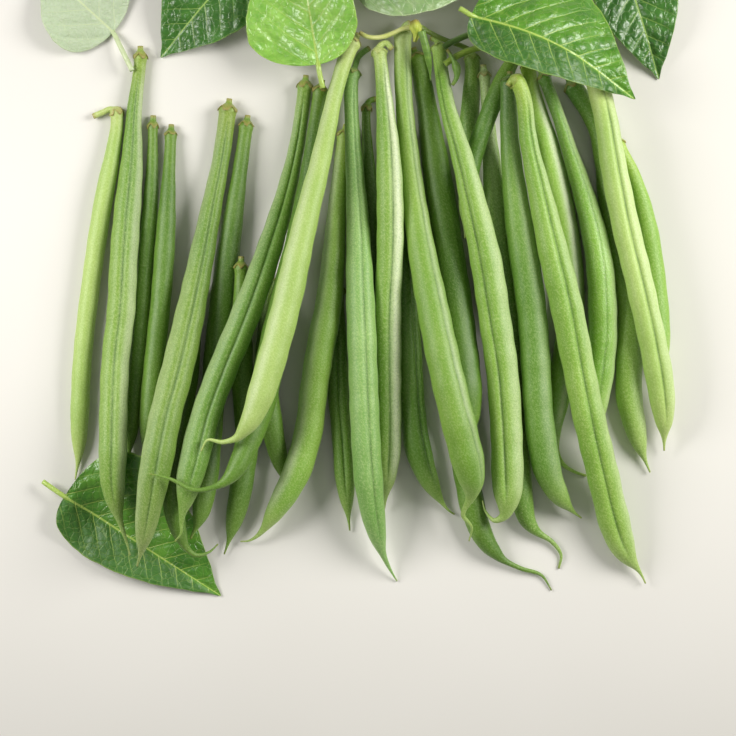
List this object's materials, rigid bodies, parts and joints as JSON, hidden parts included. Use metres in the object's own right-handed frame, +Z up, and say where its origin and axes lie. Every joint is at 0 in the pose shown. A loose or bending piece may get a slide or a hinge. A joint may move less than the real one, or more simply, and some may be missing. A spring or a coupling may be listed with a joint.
{
  "type": "green bean bundle",
  "caption": "Loose bunch of long slim green bean pods with thin curved tails, short stalks and a few bean leaves, lying on a surface as picked.",
  "frame": {"origin": "on the surface that the bunch lies on, under the middle of its box", "axes": "+Y from the pods' tips to their stalk ends, +X across the bunch, +Z up"},
  "size_m": [0.1746, 0.1872, 0.0257],
  "materials": {
    "pod_light": "light green bean skin, finely velvety with a soft sheen",
    "pod_mid": "mid green bean skin, finely velvety with a soft sheen",
    "pod_dark": "dark green bean skin, finely velvety with a soft sheen",
    "pod_pale": "pale yellow-green bean skin, finely velvety",
    "pod_blue": "cool green bean skin, finely velvety with a soft sheen",
    "stalk": "pale yellow-green plant stalk",
    "leaf": "glossy green leaf, veined and puckered, with a paler underside"
  },
  "bodies": {
    "root": {"pod_01": "pod_light", "pod_02": "pod_pale", "pod_03": "pod_dark", "pod_04": "pod_dark", "pod_05": "pod_light", "pod_06": "pod_mid", "pod_07": "pod_pale", "pod_08": "pod_mid", "pod_09": "pod_dark", "pod_10": "pod_dark", "pod_11": "pod_dark", "pod_12": "pod_dark", "pod_13": "pod_light", "pod_14": "pod_mid", "pod_17": "pod_blue", "pod_18": "pod_dark", "pod_19": "pod_pale", "pod_20": "pod_light", "pod_21": "pod_mid", "pod_22": "pod_dark", "pod_23": "pod_light", "pod_24": "pod_dark", "pod_25": "pod_dark", "pod_26": "pod_dark", "pod_28": "pod_mid", "pod_29": "pod_light", "pod_30": "pod_pale", "pod_31": "pod_pale", "pod_32": "pod_light", "pod_33": "pod_light", "pod_34": "pod_light", "pod_35": "pod_pale", "flower_stalk": "stalk", "flower_bracts": "stalk", "side_stalk": "stalk", "leaf_stalk_dark": "stalk", "leaf_stalk_bright": "stalk", "flower_bud": "stalk", "leaf_tips_left": "leaf", "leaf_far_left": "leaf", "leaf_far_right": "leaf", "leaf_top_left": "leaf", "leaf_top_middle": "leaf", "leaf_top_centre": "leaf", "leaf_top_right": "leaf"}
  },
  "joints": []
}
